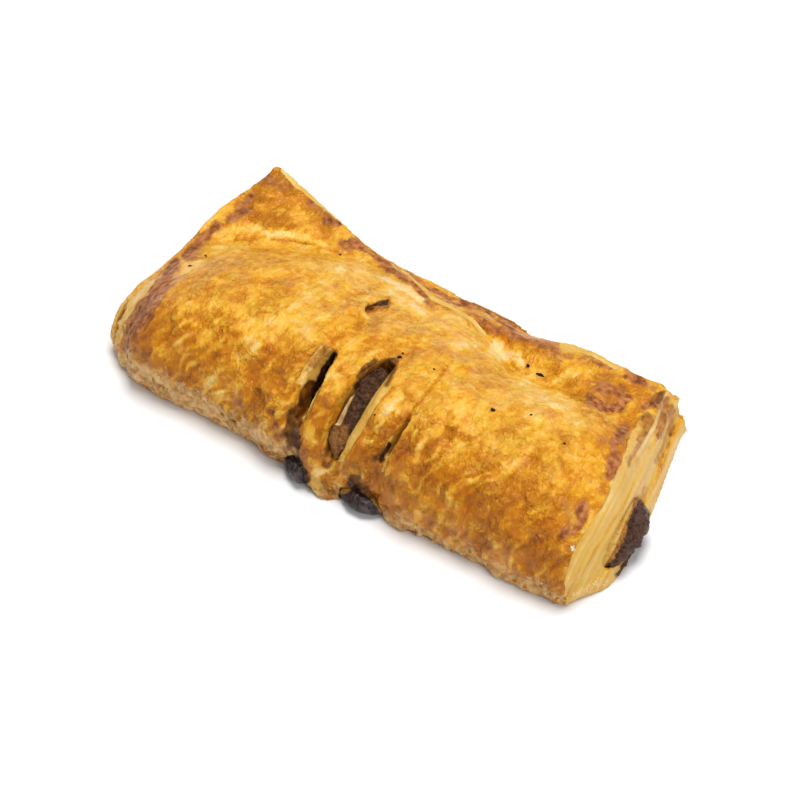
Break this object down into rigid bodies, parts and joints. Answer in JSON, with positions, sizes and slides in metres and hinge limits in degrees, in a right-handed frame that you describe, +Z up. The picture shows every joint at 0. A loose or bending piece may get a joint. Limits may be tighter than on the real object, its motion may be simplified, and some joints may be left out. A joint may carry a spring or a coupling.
{
  "type": "tomato puff pastry",
  "caption": "Oblong puff pastry parcel, folded and sealed over a dark tomato filling, with slits across its round fold, a cut open end and burst filling at the base.",
  "frame": {"origin": "middle of the footprint, on the surface that the pastry lies on", "axes": "+X along the parcel towards its cut open end, +Y from the round fold towards the sealed edge, +Z up"},
  "size_m": [0.1456, 0.0786, 0.0277],
  "materials": {
    "crust": "baked, golden brown, flaky, with a thin egg glaze",
    "filling": "dark, sticky, baked dry at the edges"
  },
  "bodies": {
    "root": {"pastry_crust": "crust", "tomato_filling": "filling"}
  },
  "joints": []
}
